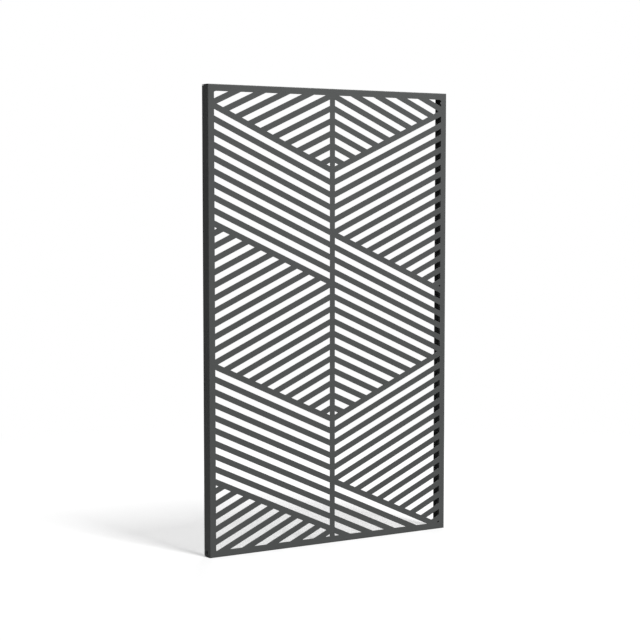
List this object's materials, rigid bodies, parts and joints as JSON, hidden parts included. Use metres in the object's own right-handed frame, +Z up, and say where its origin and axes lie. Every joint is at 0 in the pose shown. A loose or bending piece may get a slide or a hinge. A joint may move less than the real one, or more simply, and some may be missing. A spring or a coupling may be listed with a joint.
{
  "type": "steel screen panel",
  "caption": "Tall steel screen panel, one slotted sheet folded back on four sides, with a solid bar in its foot, an angle in its head, corner brackets and side holes at the foot.",
  "frame": {"origin": "on the floor, under the middle of the panel", "axes": "+X along the panel to the right as seen from the front, +Y from the front to the back, +Z up"},
  "size_m": [1.1, 0.05, 1.8],
  "materials": {
    "coated_steel": "fine textured anthracite powder coat",
    "bracket_steel": "fine textured anthracite powder coat",
    "plated_steel": "zinc plated"
  },
  "bodies": {
    "root": {"folded_face_sheet": "coated_steel", "top_rail": "coated_steel", "bottom_rail": "coated_steel", "bottom_left_corner_bracket": "bracket_steel", "bottom_right_corner_bracket": "bracket_steel", "top_left_corner_bracket": "bracket_steel", "top_right_corner_bracket": "bracket_steel", "rail_weld_studs": "plated_steel", "rail_nuts": "plated_steel", "bracket_weld_studs": "plated_steel", "bracket_nuts": "plated_steel"}
  },
  "joints": []
}
